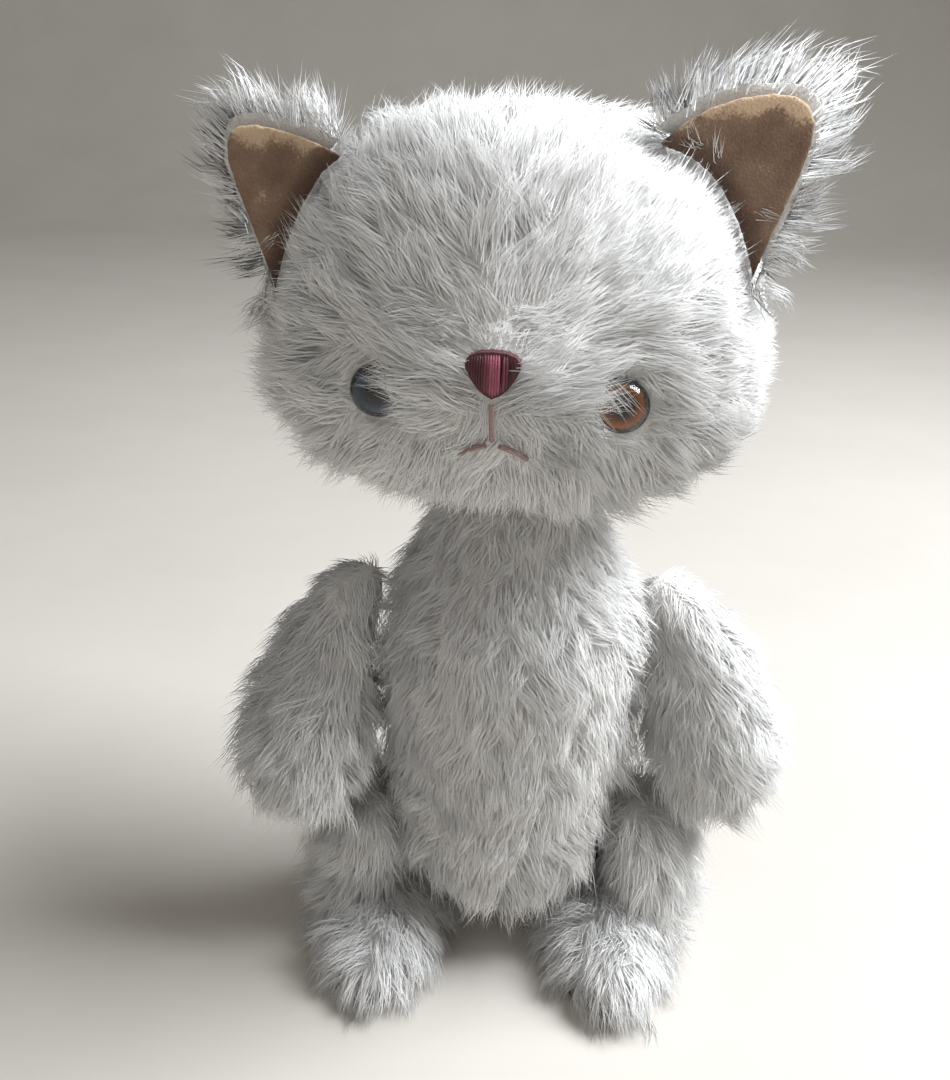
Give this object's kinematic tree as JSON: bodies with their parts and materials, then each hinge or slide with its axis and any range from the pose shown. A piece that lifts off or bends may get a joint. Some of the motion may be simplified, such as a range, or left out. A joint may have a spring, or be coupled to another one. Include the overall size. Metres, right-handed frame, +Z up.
{
  "type": "jointed plush cat",
  "caption": "Standing soft toy cat in long white pile with a wide head, brown-lined ears, glass eyes, a stitched nose and disc-jointed neck, arms and legs.",
  "frame": {"origin": "on the floor, under the middle of the whole toy", "axes": "+Z up from the soles to the ears, the face looks along -Y, the cat's own left side is +X"},
  "size_m": [0.1494, 0.1048, 0.2463],
  "materials": {
    "mohair": "matte",
    "stuffing": "matte",
    "pellet_cloth": "matte",
    "short_nap": "matte",
    "hardboard": "matte",
    "card": "matte",
    "steel": "satin",
    "clear_glass": "gloss",
    "amber_paint": "gloss",
    "blue_paint": "gloss",
    "nose_thread": "satin",
    "mouth_thread": "satin"
  },
  "bodies": {
    "torso": {"torso_skin": "mohair", "torso_stuffing": "stuffing", "pellet_bag": "pellet_cloth", "tail_skin": "mohair", "tail_stuffing": "stuffing", "neck_torso_disc": "hardboard", "neck_torso_washer": "steel", "left_shoulder_torso_disc": "hardboard", "left_shoulder_torso_washer": "steel", "left_hip_torso_disc": "hardboard", "left_hip_torso_washer": "steel", "right_shoulder_torso_disc": "hardboard", "right_shoulder_torso_washer": "steel", "right_hip_torso_disc": "hardboard", "right_hip_torso_washer": "steel"},
    "head": {"left_eye_glass": "clear_glass", "left_eye_iris": "amber_paint", "left_eye_wire": "steel", "right_eye_glass": "clear_glass", "right_eye_iris": "blue_paint", "right_eye_wire": "steel", "nose_embroidery": "nose_thread", "mouth_stitch_middle": "mouth_thread", "mouth_stitch_left": "mouth_thread", "mouth_stitch_right": "mouth_thread", "head_skin": "mohair", "head_stuffing": "stuffing", "left_ear_lining": "short_nap", "left_ear_back": "mohair", "right_ear_lining": "short_nap", "right_ear_back": "mohair", "neck_limb_disc": "hardboard", "neck_limb_washer": "steel", "neck_split_pin": "steel"},
    "left_arm": {"left_arm_skin": "mohair", "left_arm_stuffing": "stuffing", "left_shoulder_limb_disc": "hardboard", "left_shoulder_limb_washer": "steel", "left_shoulder_split_pin": "steel"},
    "right_arm": {"right_arm_skin": "mohair", "right_arm_stuffing": "stuffing", "right_shoulder_limb_disc": "hardboard", "right_shoulder_limb_washer": "steel", "right_shoulder_split_pin": "steel"},
    "left_leg": {"left_leg_skin": "mohair", "left_leg_stuffing": "stuffing", "left_insole": "card", "left_sole_pad": "short_nap", "left_hip_limb_disc": "hardboard", "left_hip_limb_washer": "steel", "left_hip_split_pin": "steel"},
    "right_leg": {"right_leg_skin": "mohair", "right_leg_stuffing": "stuffing", "right_insole": "card", "right_sole_pad": "short_nap", "right_hip_limb_disc": "hardboard", "right_hip_limb_washer": "steel", "right_hip_split_pin": "steel"}
  },
  "joints": [
    {"name": "neck_swivel", "type": "hinge", "parent": "torso", "child": "head", "pos_m": [-0.00099, -0.00238, 0.149], "axis": [0, 0, 1], "continuous": true},
    {"name": "left_shoulder_swing", "type": "hinge", "parent": "torso", "child": "left_arm", "pos_m": [0.03251, -0.00238, 0.107], "axis": [-0.9877, 0, -0.1564], "range_deg": [-90, 110]},
    {"name": "right_shoulder_swing", "type": "hinge", "parent": "torso", "child": "right_arm", "pos_m": [-0.03449, -0.00238, 0.107], "axis": [-0.9962, 0, 0.0872], "range_deg": [-90, 110]},
    {"name": "left_hip_swing", "type": "hinge", "parent": "torso", "child": "left_leg", "pos_m": [0.02951, -0.00238, 0.036], "axis": [-1, 0, 0], "range_deg": [-60, 75]},
    {"name": "right_hip_swing", "type": "hinge", "parent": "torso", "child": "right_leg", "pos_m": [-0.03149, -0.00238, 0.036], "axis": [-1, 0, 0], "range_deg": [-60, 75]}
  ]
}
